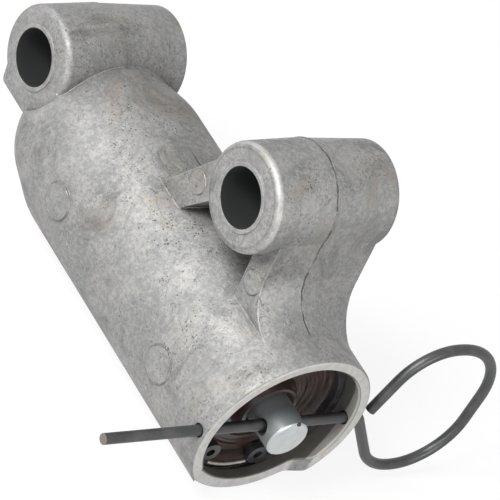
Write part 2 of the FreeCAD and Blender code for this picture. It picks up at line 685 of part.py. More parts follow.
def make_pieces():
    """Build every piece, from the casting to the smallest spring."""
    make_housing()
    turned_piece("cylinder_sleeve", [
        ("fits.sleeve_back_x", "dims.sleeve_bore"),
        ("fits.sleeve_back_x", "fits.sleeve_outer"),
        ("fits.sleeve_front_x", "fits.sleeve_outer"),
        ("fits.sleeve_front_x", "dims.sleeve_bore"),
    ])
    turned_piece("plunger", [
        ("dims.plunger_x", "dims.valve_pocket_radius"),
        ("dims.plunger_x", "fits.plunger_radius"),
        ("fits.plunger_front_x", "fits.plunger_radius"),
        ("fits.plunger_front_x", "dims.oil_way_radius"),
        ("fits.valve_pocket_x", "dims.oil_way_radius"),
        ("fits.valve_pocket_x", "dims.valve_pocket_radius"),
    ])
    turned_piece("valve_seat", [
        ("fits.valve_seat_x", "dims.valve_port_radius"),
        ("fits.valve_seat_x", "fits.valve_fit"),
        ("fits.valve_seat_front_x", "fits.valve_fit"),
        ("fits.valve_seat_front_x", "dims.valve_port_radius"),
    ])
    turned_piece("ball_cage", [
        ("fits.cage_back_x", "dims.cage_port_radius"),
        ("fits.cage_back_x", "fits.valve_fit"),
        ("fits.cage_front_x", "fits.valve_fit"),
        ("fits.cage_front_x", "fits.cage_inner"),
        ("fits.cage_inside_x", "fits.cage_inner"),
        ("fits.cage_inside_x", "dims.cage_port_radius"),
    ])
    ball = doc.addObject("PartDesign::Body", "check_ball")
    sphere = ball.newObject("PartDesign::AdditiveSphere", "ball")
    sphere.setExpression("Radius", "dims.ball_radius")
    sphere.setExpression("Placement.Base.x", "fits.ball_x")
    doc.recompute()
    place(ball, "check_ball")
    turned_piece("spring_seat", [
        ("fits.skirt_back_x", "fits.skirt_inner"),
        ("fits.skirt_back_x", "fits.seat_outer"),
        ("dims.collar_x - dims.seat_gap", "fits.seat_outer"),
        ("dims.collar_x - dims.seat_gap", "fits.rod_bore"),
        ("fits.seat_back_x", "fits.rod_bore"),
        ("fits.seat_back_x", "fits.skirt_inner"),
    ])
    turned_piece("wear_ring", [
        ("dims.collar_x - dims.wear_ring_length", "fits.ring_inner"),
        ("dims.collar_x - dims.wear_ring_length", "fits.ring_outer"),
        ("dims.collar_x - dims.seat_gap", "fits.ring_outer"),
        ("dims.collar_x - dims.seat_gap", "fits.ring_inner"),
    ])
    turned_piece("rod_guide", [
        ("fits.guide_back_x", "fits.rod_bore"),
        ("fits.guide_back_x", "fits.mouth_fit"),
        ("fits.guide_front_x", "fits.mouth_fit"),
        ("fits.guide_front_x", "fits.rod_bore"),
    ])
    turned_piece("seal_insert", [
        ("fits.seal_back_x", "dims.insert_inner_radius"),
        ("fits.seal_back_x", "fits.insert_outer_radius"),
        ("fits.insert_front_x - dims.seat_gap", "fits.insert_outer_radius"),
        ("fits.insert_front_x - dims.seat_gap", "dims.insert_inner_radius"),
    ])
    make_oil_seal()
    make_garter_spring()
    make_push_rod()
    make_retaining_ring()
    make_coil("return_spring", "dims.chamber_floor_x", "fits.seat_back_x",
              "dims.return_spring_circle", "dims.return_spring_wire",
              "dims.return_spring_turns")
    make_coil("plunger_spring", "fits.sleeve_floor_x", "dims.plunger_x",
              "dims.plunger_spring_circle", "dims.plunger_spring_wire",
              "dims.plunger_spring_turns")
    make_coil("check_ball_spring", "fits.cage_inside_x", "fits.ball_spring_end_x",
              "dims.ball_spring_circle", "dims.ball_spring_wire", "dims.ball_spring_turns")
    make_lock_pin()


make_pieces()
doc.recompute()
for feature in doc.Objects:
    if "Invalid" in feature.State or "Error" in feature.State:
        raise RuntimeError(f"{feature.Name} did not build: {feature.State}")
os.makedirs("parts", exist_ok=True)
for piece in bodies:
    if piece.Shape.isNull() or not piece.Shape.isValid():
        raise RuntimeError(f"{piece.Label} has no valid shape")
    piece.Shape.exportStep(f"parts/{piece.Label}.step")
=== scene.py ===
"""Looks of a hydraulic belt tensioner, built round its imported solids.

The casting, its push rod, seal, retaining ring and lock pin keep the solids'
shapes. This script gives them their finishes, adds the thin parting fin and the
rolled bead of the ring's groove, and sets the studio and the camera.
"""

import json
import logging
import math
from dataclasses import dataclass
from enum import Enum

import bmesh
import bpy
from mathutils import Matrix, Vector, noise
from mathutils.bvhtree import BVHTree


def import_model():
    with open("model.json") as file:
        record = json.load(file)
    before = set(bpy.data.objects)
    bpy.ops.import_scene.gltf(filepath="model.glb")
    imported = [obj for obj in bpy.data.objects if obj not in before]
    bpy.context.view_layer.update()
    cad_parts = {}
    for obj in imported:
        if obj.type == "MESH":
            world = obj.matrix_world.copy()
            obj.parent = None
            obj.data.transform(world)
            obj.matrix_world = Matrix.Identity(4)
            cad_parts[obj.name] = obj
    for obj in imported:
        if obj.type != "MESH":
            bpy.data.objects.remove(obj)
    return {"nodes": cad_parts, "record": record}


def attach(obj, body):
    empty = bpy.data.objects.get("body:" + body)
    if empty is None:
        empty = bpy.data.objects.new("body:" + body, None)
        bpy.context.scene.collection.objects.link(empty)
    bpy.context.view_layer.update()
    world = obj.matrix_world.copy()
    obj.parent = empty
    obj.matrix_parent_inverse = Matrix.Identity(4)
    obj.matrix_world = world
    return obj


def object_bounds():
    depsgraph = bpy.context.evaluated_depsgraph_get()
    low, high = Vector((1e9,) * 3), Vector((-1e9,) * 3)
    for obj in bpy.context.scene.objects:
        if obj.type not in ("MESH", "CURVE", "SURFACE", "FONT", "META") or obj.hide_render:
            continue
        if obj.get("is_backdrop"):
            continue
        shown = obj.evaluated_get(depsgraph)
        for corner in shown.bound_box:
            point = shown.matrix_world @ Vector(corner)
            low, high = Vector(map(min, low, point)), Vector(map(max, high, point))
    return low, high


LOG = logging.getLogger("belt_tensioner")

Colour = tuple[float, float, float]
Socket = bpy.types.NodeSocket

# Places in the part's own frame, in metres.
BARREL_AXIS = Vector((0.0, -0.01425, -0.0095))
PARTING_Y = BARREL_AXIS.y
BARREL_RADIUS = 0.0173
MOUTH_RADIUS = 0.0149
MOUTH_BACK_X = 0.0600
RIM_X = 0.0815
END_BORE = Vector((0.0, 0.0, 0.0))
OFFSET_BORE = Vector((0.0572, 0.0, 0.0229))
BOLT_RADIUS = 0.00525
BOSS_RADIUS = 0.0099
BOSS_FRONT_Y = -0.02705
SEAM_START_X = 0.0300
SEAM_END_X = 0.0782
SEAM_FOOT_Z = 0.0050
ROD_TIP_X = 0.0835
CHIP_PLACE = Vector((0.0835, -0.01390, -0.00575))
PIN_TIP_Y = -0.05165


@dataclass(frozen=True)
class EjectorMark:
    """A flat disc that an ejector pin left on the casting's front."""

    centre: Vector
    radius: float


EJECTOR_MARKS = (
    EjectorMark(Vector((0.0262, 0.0, -0.0095)), 0.0034),
    EjectorMark(Vector((0.0648, 0.0, -0.0095)), 0.0034),
    EjectorMark(Vector((0.0436, 0.0, 0.01264)), 0.0022),
    EjectorMark(Vector((0.065266, 0.0, 0.01066)), 0.0022),
)


class Axis(Enum):
    """The part's axes that its turned and bored faces run along."""

    X = (0.0, 1.0, 1.0)
    Y = (1.0, 0.0, 1.0)


class Finish:
    """Builds one procedural material, node by node, on the piece's own coordinates."""

    def __init__(self, name: str, metallic: float, roughness: float, colour: Colour) -> None:
        """Start a material.

        Args:
            name: the material's name.
            metallic: the share of the surface that reflects as metal.
            roughness: the plain roughness, unless a pattern is linked to it.
            colour: the plain colour, unless a pattern is linked to it.
        """
        self.material = bpy.data.materials.new(name)
        self.material.use_nodes = True
        self.tree = self.material.node_tree
        self.shader = self.tree.nodes["Principled BSDF"]
        self.shader.inputs["Metallic"].default_value = metallic
        self.shader.inputs["Roughness"].default_value = roughness
        self.shader.inputs["Base Color"].default_value = (*colour, 1.0)
        coordinates = self.tree.nodes.new("ShaderNodeTexCoord")
        self.place = coordinates.outputs["Object"]
        self.facing = coordinates.outputs["Normal"]
        self.normal: Socket | None = None

    def node(self, kind: str, inputs: dict[str | int, object], **settings: object) -> bpy.types.Node:
        """Add a node.

        Args:
            kind: the node's Blender type.
            inputs: a value or a socket for each named or numbered input.
            settings: attributes of the node.

        Returns:
            The node.
        """
        made = self.tree.nodes.new(kind)
        for name, setting in settings.items():
            setattr(made, name, setting)
        for name, source in inputs.items():
            if isinstance(source, bpy.types.NodeSocket):
                self.tree.links.new(source, made.inputs[name])
            elif isinstance(source, tuple) and len(source) == 3 and made.inputs[name].type == "RGBA":
                made.inputs[name].default_value = (*source, 1.0)
            else:
                made.inputs[name].default_value = source
        return made

    def sum(self, operation: str, first: Socket | float, second: Socket | float = 0.0) -> Socket:
        """Work out one number from up to two.

        Args:
            operation: Blender's name for the sum.
            first: the first term.
            second: the second term.

        Returns:
            The result's socket.
        """
        made = self.node("ShaderNodeMath", {0: first, 1: second}, operation=operation)
        return made.outputs[0]

    def ramp(self, source: Socket, low: float, high: float, start: float = 0.0,
             end: float = 1.0) -> Socket:
        """Turn a range of one number smoothly into a range of another.

        Args:
            source: the number.
            low: where the change begins.
            high: where it ends; it may be below low.
            start: the result at low.
            end: the result at high.

        Returns:
            The result's socket.
        """
        if low > high:
            low, high, start, end = high, low, end, start
        made = self.node("ShaderNodeMapRange",
                         {"Value": source, "From Min": low, "From Max": high,
                          "To Min": start, "To Max": end},
                         interpolation_type="SMOOTHSTEP")
        return made.outputs["Result"]

    def weaken(self, mask: Socket, share: float) -> Socket:
        """Return a mask at a share of its strength."""
        return self.sum("MULTIPLY", mask, share)

    def near(self, distance: Socket, width: float, core: float) -> Socket:
        """Return 1 where a signed distance is under the core, falling to 0 at the width."""
        return self.ramp(self.sum("ABSOLUTE", distance), width, core)

    def grain(self, scale: float, detail: float = 3.0, rough: float = 0.55, warp: float = 0.0,
              stretch: Colour = (1.0, 1.0, 1.0)) -> Socket:
        """Make a cloudy pattern.

        Args:
            scale: clouds per metre, roughly.
            detail: octaves of finer clouds.
            rough: how strongly the finer clouds show.
            warp: how far the pattern is stirred.
            stretch: scale along each axis.

        Returns:
            A socket between 0 and 1, mostly near 0.5.
        """
        place = self.node("ShaderNodeMapping", {"Vector": self.place, "Scale": stretch})
        made = self.node("ShaderNodeTexNoise",
                         {"Vector": place.outputs[0], "Scale": scale, "Detail": detail,
                          "Roughness": rough, "Distortion": warp})
        return made.outputs["Fac"]

    def pits(self, scale: float, size: float) -> Socket:
        """Scatter small round marks.

        Args:
            scale: marks per metre along each axis.
            size: a mark's radius as a share of the spacing.

        Returns:
            A socket that is 1 in the middle of a mark.
        """
        made = self.node("ShaderNodeTexVoronoi", {"Vector": self.place, "Scale": scale})
        return self.ramp(made.outputs["Distance"], size, size * 0.4)

    def lines(self, scale: float, width: float, warp: float, detail: float = 2.0) -> Socket:
        """Draw thin wandering lines, where a cloudy pattern crosses its middle value.

        Args:
            scale: clouds per metre.
            width: the lines' width as a share of the pattern's range.
            warp: how far the lines wander.
            detail: octaves of finer wandering.

        Returns:
            A socket that is 1 on a line.
        """
        cloud = self.grain(scale, detail, 0.5, warp)
        return self.near(self.sum("SUBTRACT", cloud, 0.5), width, width * 0.2)

    def part_of(self, name: str) -> Socket:
        """Return one coordinate of the place, by its letter."""
        made = self.node("ShaderNodeSeparateXYZ", {"Vector": self.place})
        return made.outputs[name]

    def facing_along(self, name: str) -> Socket:
        """Return one part of the surface's direction, by its letter."""
        made = self.node("ShaderNodeSeparateXYZ", {"Vector": self.facing})
        return made.outputs[name]

    def radius_from(self, centre: Vector, axis: Axis) -> Socket:
        """Measure the distance from an axis.

        Args:
            centre: a point on the axis.
            axis: the direction of the axis.

        Returns:
            The distance in metres.
        """
        away = self.node("ShaderNodeVectorMath", {0: self.place, 1: tuple(centre)},
                         operation="SUBTRACT")
        flat = self.node("ShaderNodeVectorMath", {0: away.outputs[0], 1: axis.value},
                         operation="MULTIPLY")
        made = self.node("ShaderNodeVectorMath", {0: flat.outputs[0]}, operation="LENGTH")
        return made.outputs["Value"]

    def both(self, *masks: Socket) -> Socket:
        """Join masks where every one holds.

        Args:
            masks: the masks.

        Returns:
            Their product.
        """
        result = masks[0]
        for mask in masks[1:]:
            result = self.sum("MULTIPLY", result, mask)
        return result

    def either(self, *masks: Socket) -> Socket:
        """Join masks where any one holds.

        Args:
            masks: the masks.

        Returns:
            The strongest of them at each place.
        """
        result = masks[0]
        for mask in masks[1:]:
            result = self.sum("MAXIMUM", result, mask)
        return result

    def layer(self, factor: Socket, under: Socket | Colour, over: Socket | Colour) -> Socket:
        """Lay one colour over another.

        Args:
            factor: how much of the upper colour shows.
            under: the lower colour.
            over: the upper colour.

        Returns:
            The colour's socket.
        """
        made = self.node("ShaderNodeMixRGB", {"Fac": factor, "Color1": under, "Color2": over})
        return made.outputs["Color"]

    def soft_edges(self, radius: float) -> Socket:
        """Round the edges in the shading and tell where they are.

        Args:
            radius: the radius in metres.

        Returns:
            A socket that is 1 on an edge.
        """
        bevel = self.node("ShaderNodeBevel", {"Radius": radius}, samples=4)
        flat = self.node("ShaderNodeNewGeometry", {})
        level = self.node("ShaderNodeVectorMath", {0: bevel.outputs[0], 1: flat.outputs["Normal"]},
                          operation="DOT_PRODUCT")
        self.normal = bevel.outputs[0]
        return self.ramp(level.outputs["Value"], 0.995, 0.86)

    def openness(self, reach: float) -> Socket:
        """Tell how open the surroundings are, for the shade and grime painted into corners.

        Args:
            reach: how far the surroundings are looked at, in metres.

        Returns:
            A socket that is 1 in the open and falls towards 0 deep in a corner.
        """
        made = self.node("ShaderNodeAmbientOcclusion", {"Distance": reach}, samples=6)
        return made.outputs["AO"]

    def relief(self, height: Socket, depth: float, strength: float = 1.0) -> None:
        """Raise or sink the surface by a pattern.

        Args:
            height: the pattern.
            depth: its full height in metres.
            strength: how strongly it shows.
        """
        inputs = {"Height": height, "Distance": depth, "Strength": strength}
        if self.normal is not None:
            inputs["Normal"] = self.normal
        self.normal = self.node("ShaderNodeBump", inputs).outputs[0]

    def finish(self, colour: Socket | None = None,
               roughness: Socket | None = None) -> bpy.types.Material:
        """Join the patterns to the shader.

        Args:
            colour: the colour's socket.
            roughness: the roughness's socket.

        Returns:
            The material.
        """
        if colour is not None:
            self.tree.links.new(colour, self.shader.inputs["Base Color"])
        if roughness is not None:
            self.tree.links.new(roughness, self.shader.inputs["Roughness"])
        if self.normal is not None:
            self.tree.links.new(self.normal, self.shader.inputs["Normal"])
        return self.material


@dataclass(frozen=True)
class CastAluminium:
    """The die-cast skin: mottled, stained and pitted, bright where machined, with painted shade in its
    corners, creases and bores and painted light on its edges and inside the mouth.
    """

    cool: Colour = (0.181, 0.184, 0.183)
    warm: Colour = (0.282, 0.277, 0.266)
    stain: Colour = (0.066, 0.066, 0.063)
    brown: Colour = (0.188, 0.140, 0.104)
    pit: Colour = (0.040, 0.037, 0.034)
    bright: Colour = (0.430, 0.426, 0.414)
    machined: Colour = (0.372, 0.366, 0.352)
    # Painted shade on the mouth's bore wall, in two tones.
    bore: Colour = (0.098, 0.092, 0.084)
    paler_shaded_bore: Colour = (0.136, 0.124, 0.112)
    # Painted light on the mouth's wall just inside the rim.
    lit_bore: Colour = (0.330, 0.318, 0.298)
    # Painted shade in the bolt bores.
    shaded_bolt_bore: Colour = (0.027, 0.028, 0.028)

    def skin_colour(self, skin: Finish) -> Socket:
        """Mottle, stain and speckle the raw cast skin.

        Args:
            skin: the material.

        Returns:
            The colour's socket.
        """
        clouds = skin.grain(150.0, 5.0, 0.66, 0.3)
        mottle = skin.grain(1150.0, 4.0, 0.72)
        tone = skin.sum("ADD", skin.weaken(clouds, 0.4), skin.weaken(mottle, 0.6))
        colour = skin.layer(skin.ramp(tone, 0.38, 0.62), self.cool, self.warm)
        patches = skin.ramp(skin.grain(75.0, 6.0, 0.78, 0.9), 0.51, 0.66)
        broken = skin.ramp(mottle, 0.36, 0.60, 0.35, 1.0)
        colour = skin.layer(skin.weaken(skin.both(patches, broken), 0.72), colour, self.stain)
        rust = skin.both(skin.ramp(skin.grain(70.0, 4.0, 0.65, 0.5), 0.54, 0.68),
                         skin.ramp(mottle, 0.42, 0.60))
        colour = skin.layer(skin.weaken(rust, 0.60), colour, self.brown)
        pepper = skin.ramp(skin.grain(2600.0, 3.0, 0.75), 0.50, 0.68)
        crowd = skin.ramp(skin.grain(110.0, 4.0, 0.65, 0.4), 0.46, 0.66, 0.35, 1.0)
        return skin.layer(skin.weaken(skin.both(pepper, crowd), 0.80), colour, self.stain)

    def flaws(self, skin: Finish) -> Socket:
        """Scatter pits and hairlines, crowded in some places and missing in others.

        Args:
            skin: the material.

        Returns:
            A socket that is 1 in a flaw.
        """
        crowded = skin.ramp(skin.grain(60.0, 3.0, 0.6, 0.4), 0.44, 0.62)
        small = skin.both(skin.pits(1700.0, 0.34), skin.ramp(skin.grain(420.0, 2.0), 0.47, 0.60),
                          crowded)
        large = skin.both(skin.pits(620.0, 0.19), skin.ramp(skin.grain(150.0, 2.0), 0.52, 0.62),
                          crowded)
        hairs = skin.both(skin.lines(120.0, 0.0026, 1.0, 4.0),
                          skin.ramp(skin.grain(75.0, 2.0), 0.53, 0.62))
        return skin.either(small, large, skin.weaken(hairs, 0.75))

    def seam(self, skin: Finish) -> Socket:
        """Draw the broken line where the two halves of the die met.

        Args:
            skin: the material.

        Returns:
            A socket that is 1 on the line.
        """
        along = skin.part_of("X")
        wander = skin.weaken(skin.sum("SUBTRACT", skin.grain(500.0, 2.0), 0.5), 0.0005)
        gap = skin.sum("ADD", skin.sum("SUBTRACT", skin.part_of("Y"), PARTING_Y - 0.0001), wander)
        return skin.both(skin.near(gap, 0.00024, 0.00010),
                         skin.ramp(skin.part_of("Z"), SEAM_FOOT_Z, SEAM_FOOT_Z + 0.0015),
                         skin.ramp(skin.grain(210.0, 3.0), 0.42, 0.54, 0.12, 1.0),
                         skin.ramp(along, SEAM_START_X, SEAM_START_X + 0.0040),
                         skin.ramp(along, SEAM_END_X, SEAM_END_X - 0.0014))

    def ejector_mark_shade(self, skin: Finish) -> Socket:
        """Paint shade in the creases round the ejector marks.

        Args:
            skin: the material.

        Returns:
            A socket that is 1 on an outline.
        """
        front = skin.ramp(skin.facing_along("Y"), -0.5, -0.8)
        broken = skin.ramp(skin.grain(260.0, 3.0), 0.36, 0.54, 0.15, 1.0)
        rings = []
        for mark in EJECTOR_MARKS:
            off = skin.sum("SUBTRACT", skin.radius_from(mark.centre, Axis.Y), mark.radius)
            rings.append(skin.near(off, 0.00024, 0.00008))
        return skin.both(skin.either(*rings), front, broken)

    def corner_shade_and_grime(self, skin: Finish) -> Socket:
        """Paint shade into the corners, made heavier in some places than in others by grime.

        Args:
            skin: the material.

        Returns:
            A socket that rises towards 1 deep in a corner.
        """
        nooks = skin.openness(0.0055)
        shallow = skin.weaken(skin.ramp(nooks, 0.90, 0.60), 0.36)
        deep = skin.weaken(skin.ramp(nooks, 0.60, 0.36), 0.46)
        uneven = skin.ramp(skin.grain(400.0, 3.0), 0.3, 0.6, 0.6, 1.0)
        return skin.both(skin.sum("ADD", shallow, deep), uneven)

    def boss_edge(self, skin: Finish) -> tuple[Socket, Socket]:
        """Mark the rings at the edge of the offset boss's front face.

        Args:
            skin: the material.

        Returns:
            A socket that is 1 on a ring of painted shade just inside the rounded edge, and one that is
            1 on the band outside it, a painted highlight along with rubbed wear.
        """
        radius = skin.radius_from(OFFSET_BORE, Axis.Y)
        front = skin.ramp(skin.part_of("Y"), BOSS_FRONT_Y + 0.0012, BOSS_FRONT_Y + 0.0009)
        groove = skin.both(skin.ramp(radius, 0.0081, 0.0084), skin.ramp(radius, 0.0088, 0.0085),
                           front)
        brow = skin.both(skin.ramp(radius, 0.00895, 0.00915), skin.ramp(radius, 0.0100, 0.0094),
                         front)
        return groove, brow

    def bolt_holes(self, skin: Finish) -> Socket:
        """Tell the walls of the two bolt bores.

        Args:
            skin: the material.

        Returns:
            A socket that is 1 inside a bore.
        """
        holes = []
        for bore in (END_BORE, OFFSET_BORE):
            radius = skin.radius_from(bore, Axis.Y)
            holes.append(skin.ramp(radius, BOLT_RADIUS + 0.00008, BOLT_RADIUS + 0.00003))
        return skin.either(*holes)

    def machined_faces(self, skin: Finish, along: Socket, barrel_radius: Socket) -> Socket:
        """Tell the faces that are cut bright: the mouth's rim and the bosses' mounting faces.

        Args:
            skin: the material.
            along: the place along the barrel.
            barrel_radius: the distance from the barrel's axis.

        Returns:
            A socket that is 1 on a machined face.
        """
        rim = skin.both(skin.ramp(skin.facing_along("X"), 0.75, 0.9),
                        skin.ramp(along, RIM_X - 0.0030, RIM_X - 0.0027))
        mounting = skin.ramp(skin.part_of("Y"), -0.00012, -0.00005)
        bosses = skin.either(
            skin.ramp(barrel_radius, BARREL_RADIUS + 0.0004, BARREL_RADIUS + 0.0006),
            skin.ramp(skin.radius_from(END_BORE, Axis.Y), BOSS_RADIUS + 0.0002, BOSS_RADIUS))
        return skin.either(rim, skin.both(mounting, bosses))

    def make(self) -> bpy.types.Material:
        """Build the material.

        Returns:
            The material.
        """
        skin = Finish("cast_aluminium", 0.62, 0.5, self.cool)
        along = skin.part_of("X")
        across = skin.part_of("Y")
        barrel_radius = skin.radius_from(BARREL_AXIS, Axis.X)
        edges = skin.soft_edges(0.0003)
        marks = self.flaws(skin)
        seam = self.seam(skin)
        groove, brow = self.boss_edge(skin)
        bolts = self.bolt_holes(skin)
        machined = self.machined_faces(skin, along, barrel_radius)
        mouth = skin.both(skin.ramp(barrel_radius, MOUTH_RADIUS + 0.0004, MOUTH_RADIUS + 0.0002),
                          skin.ramp(along, MOUTH_BACK_X, MOUTH_BACK_X + 0.0020))
        slant = skin.sum("ADD", along, skin.weaken(across, 0.35))
        # Where painted light falls on the mouth's wall just inside the rim.
        lit_lip = skin.both(mouth, skin.ramp(across, -0.0062, -0.0030),
                        skin.ramp(slant, RIM_X - 0.0021, RIM_X - 0.0018))

        colour = self.skin_colour(skin)
        colour = skin.layer(skin.weaken(marks, 0.80), colour, self.pit)
        colour = skin.layer(skin.weaken(seam, 0.85), colour, self.pit)
        # Painted shade in the creases round the ejector marks.
        colour = skin.layer(skin.weaken(self.ejector_mark_shade(skin), 0.75), colour, self.pit)
        # Painted shade in corners and creases, made uneven by grime.
        colour = skin.layer(self.corner_shade_and_grime(skin), colour, self.pit)
        # Painted shade on a ring just inside the offset boss's rounded edge.
        colour = skin.layer(skin.weaken(groove, 0.35), colour, self.stain)
        # Edges and the offset boss's brow painted lighter: painted highlights along with rubbed wear.
        rubbed = skin.either(edges, skin.weaken(brow, 0.6))
        wear_and_painted_highlight = skin.both(rubbed, skin.ramp(skin.grain(500.0, 2.0), 0.30, 0.60, 0.25, 0.75))
        colour = skin.layer(wear_and_painted_highlight, colour, self.bright)
        turned = skin.layer(skin.ramp(skin.grain(800.0, 3.0), 0.35, 0.65), self.machined, self.bright)
        colour = skin.layer(machined, colour, turned)
        # Painted shade on the mouth's bore wall, patchy.
        shaded_mouth_wall = skin.layer(skin.grain(180.0, 4.0, 0.6), self.bore, self.paler_shaded_bore)
        colour = skin.layer(mouth, colour, shaded_mouth_wall)
        # Painted light on the mouth's wall near the rim.
        colour = skin.layer(lit_lip, colour, self.lit_bore)
        # Painted shade in the bolt bores.
        colour = skin.layer(bolts, colour, self.shaded_bolt_bore)

        raw = skin.sum("SUBTRACT", 1.0, skin.either(machined, mouth, bolts))
        turning = skin.sum("SINE", skin.weaken(barrel_radius, 42000.0))
        skin.relief(skin.both(skin.grain(260.0, 4.0, 0.6), raw), 0.00020, 0.5)
        skin.relief(skin.both(skin.grain(1500.0, 3.0, 0.7), raw), 0.00006, 0.6)
        sunk = skin.both(skin.either(marks, seam), raw)
        skin.relief(skin.sum("SUBTRACT", 1.0, sunk), 0.00015, 0.7)
        skin.relief(skin.both(turning, machined), 0.000008, 0.5)
        roughness = skin.ramp(skin.grain(120.0, 4.0, 0.6), 0.35, 0.65, 0.50, 0.68)
        roughness = skin.sum("MAXIMUM", roughness, skin.weaken(bolts, 0.9))
        return skin.finish(colour, roughness)


@dataclass(frozen=True)
class RodSteel:
    """The push rod: dark turned flank and a bright faced end."""

    flank: Colour = (0.370, 0.402, 0.412)
    scratch: Colour = (0.440, 0.466, 0.472)
    face: Colour = (0.455, 0.478, 0.476)
    dull_face: Colour = (0.415, 0.434, 0.432)
    chip: Colour = (0.060, 0.045, 0.035)

    def make(self) -> bpy.types.Material:
        """Build the material.

        Returns:
            The material.
        """
        rod = Finish("rod_steel", 0.75, 0.38, self.flank)
        along = rod.part_of("X")
        edges = rod.soft_edges(0.00015)
        near_tip = rod.ramp(along, ROD_TIP_X - 0.0045, ROD_TIP_X - 0.0015)
        turning = rod.grain(60.0, 4.0, 0.8, 0.0, (110.0, 6.0, 6.0))
        cut = rod.both(rod.ramp(turning, 0.50, 0.66), rod.ramp(near_tip, 0.0, 1.0, 0.25, 1.0),
                       rod.ramp(rod.grain(420.0, 2.0), 0.40, 0.60))
        colour = rod.layer(rod.weaken(cut, 0.75), self.flank, self.scratch)
        end = rod.both(rod.ramp(rod.facing_along("X"), 0.80, 0.92),
                       rod.ramp(along, ROD_TIP_X - 0.0004, ROD_TIP_X - 0.0002))
        face = rod.layer(rod.ramp(rod.grain(650.0, 4.0), 0.4, 0.65), self.face, self.dull_face)
        colour = rod.layer(end, colour, face)
        colour = rod.layer(rod.weaken(edges, 0.5), colour, self.face)
        off_chip = rod.node("ShaderNodeVectorMath", {0: rod.place, 1: tuple(CHIP_PLACE)},
                            operation="DISTANCE").outputs["Value"]
        ragged = rod.sum("ADD", off_chip, rod.weaken(rod.grain(1600.0, 2.0), 0.0005))
        colour = rod.layer(rod.ramp(ragged, 0.00078, 0.00062), colour, self.chip)
        rod.relief(turning, 0.00003, 0.5)
        roughness = rod.ramp(end, 0.0, 1.0, 0.36, 0.50)
        return rod.finish(colour, roughness)


@dataclass(frozen=True)
class BlackenedWire:
    """The lock pin's wire: black oxide with soft highlights, bare at the cut ends."""

    oxide: Colour = (0.036, 0.037, 0.038)
    rubbed: Colour = (0.056, 0.056, 0.055)
    cut_end: Colour = (0.120, 0.108, 0.096)

    def make(self) -> bpy.types.Material:
        """Build the material.

        Returns:
            The material.
        """
        wire = Finish("blackened_wire", 0.30, 0.40, self.oxide)
        across = wire.part_of("Y")
        streaks = wire.grain(230.0, 4.0, 0.65)
        colour = wire.layer(wire.ramp(streaks, 0.42, 0.68), self.oxide, self.rubbed)
        tip = wire.both(wire.ramp(across, PIN_TIP_Y + 0.00025, PIN_TIP_Y + 0.00010),
                        wire.ramp(wire.facing_along("Y"), -0.5, -0.8))
        colour = wire.layer(tip, colour, self.cut_end)
        wire.relief(streaks, 0.00004, 0.5)
        wire.relief(wire.grain(2400.0, 2.0), 0.00002, 0.4)
        return wire.finish(colour, wire.ramp(streaks, 0.35, 0.65, 0.36, 0.46))


@dataclass(frozen=True)
class SealRubber:
    """The oil seal's dark reddish-brown rubber, ringed by its mould and wet with oil."""

    rubber: Colour = (0.029, 0.017, 0.014)
    dusty: Colour = (0.052, 0.037, 0.032)

    def make(self) -> bpy.types.Material:
        """Build the material.

        Returns:
            The material.
        """
        seal = Finish("seal_rubber", 0.0, 0.42, self.rubber)
        radius = seal.radius_from(BARREL_AXIS, Axis.X)
        grooves = seal.sum("SINE", seal.weaken(radius, 8000.0))
        dust = seal.both(seal.ramp(seal.grain(300.0, 4.0, 0.65), 0.42, 0.70),
                         seal.ramp(grooves, -0.6, 0.9))
        colour = seal.layer(dust, self.rubber, self.dusty)
        seal.relief(grooves, 0.00002, 0.6)
        seal.relief(seal.grain(1400.0, 3.0), 0.00003, 0.5)
        return seal.finish(colour, seal.ramp(dust, 0.0, 1.0, 0.30, 0.60))


@dataclass(frozen=True)
class WorkedSteel:
    """A plain steel or plastic finish with a fine drawn or ground grain."""

    name: str
    colour: Colour
    lighter: Colour
    metallic: float
    roughness: float
    grain_scale: float = 700.0
    grain_depth: float = 0.00002

    def make(self) -> bpy.types.Material:
        """Build the material.

        Returns:
            The material.
        """
        steel = Finish(self.name, self.metallic, self.roughness, self.colour)
        edges = steel.soft_edges(0.00012)
        grain = steel.grain(self.grain_scale, 4.0, 0.65, 0.0, (4.0, 1.0, 1.0))
        colour = steel.layer(steel.ramp(grain, 0.38, 0.66), self.colour, self.lighter)
        colour = steel.layer(steel.weaken(edges, 0.5), colour, self.lighter)
        steel.relief(grain, self.grain_depth, 0.5)
        return steel.finish(colour, steel.ramp(grain, 0.3, 0.7, self.roughness - 0.06,
                                               self.roughness + 0.08))


GROUND_STEEL = WorkedSteel("ground_steel", (0.40, 0.41, 0.42), (0.55, 0.56, 0.57), 1.0, 0.25)
PRESSED_STEEL = WorkedSteel("pressed_steel", (0.22, 0.22, 0.22), (0.34, 0.34, 0.34), 0.9, 0.42)
BALL_STEEL = WorkedSteel("ball_steel", (0.60, 0.60, 0.60), (0.70, 0.70, 0.70), 1.0, 0.10, 300.0)
SPRING_STEEL = WorkedSteel("spring_steel", (0.20, 0.20, 0.20), (0.32, 0.32, 0.32), 0.9, 0.34)
BEARING_PLASTIC = WorkedSteel("bearing_plastic", (0.10, 0.085, 0.07), (0.15, 0.13, 0.11), 0.0, 0.5)
BLACK_RING = WorkedSteel("black_spring_steel", (0.026, 0.026, 0.028), (0.048, 0.048, 0.048), 0.4, 0.36)
TURNED_EDGE = WorkedSteel("turned_edge", (0.36, 0.34, 0.31), (0.46, 0.44, 0.41), 0.4, 0.45)


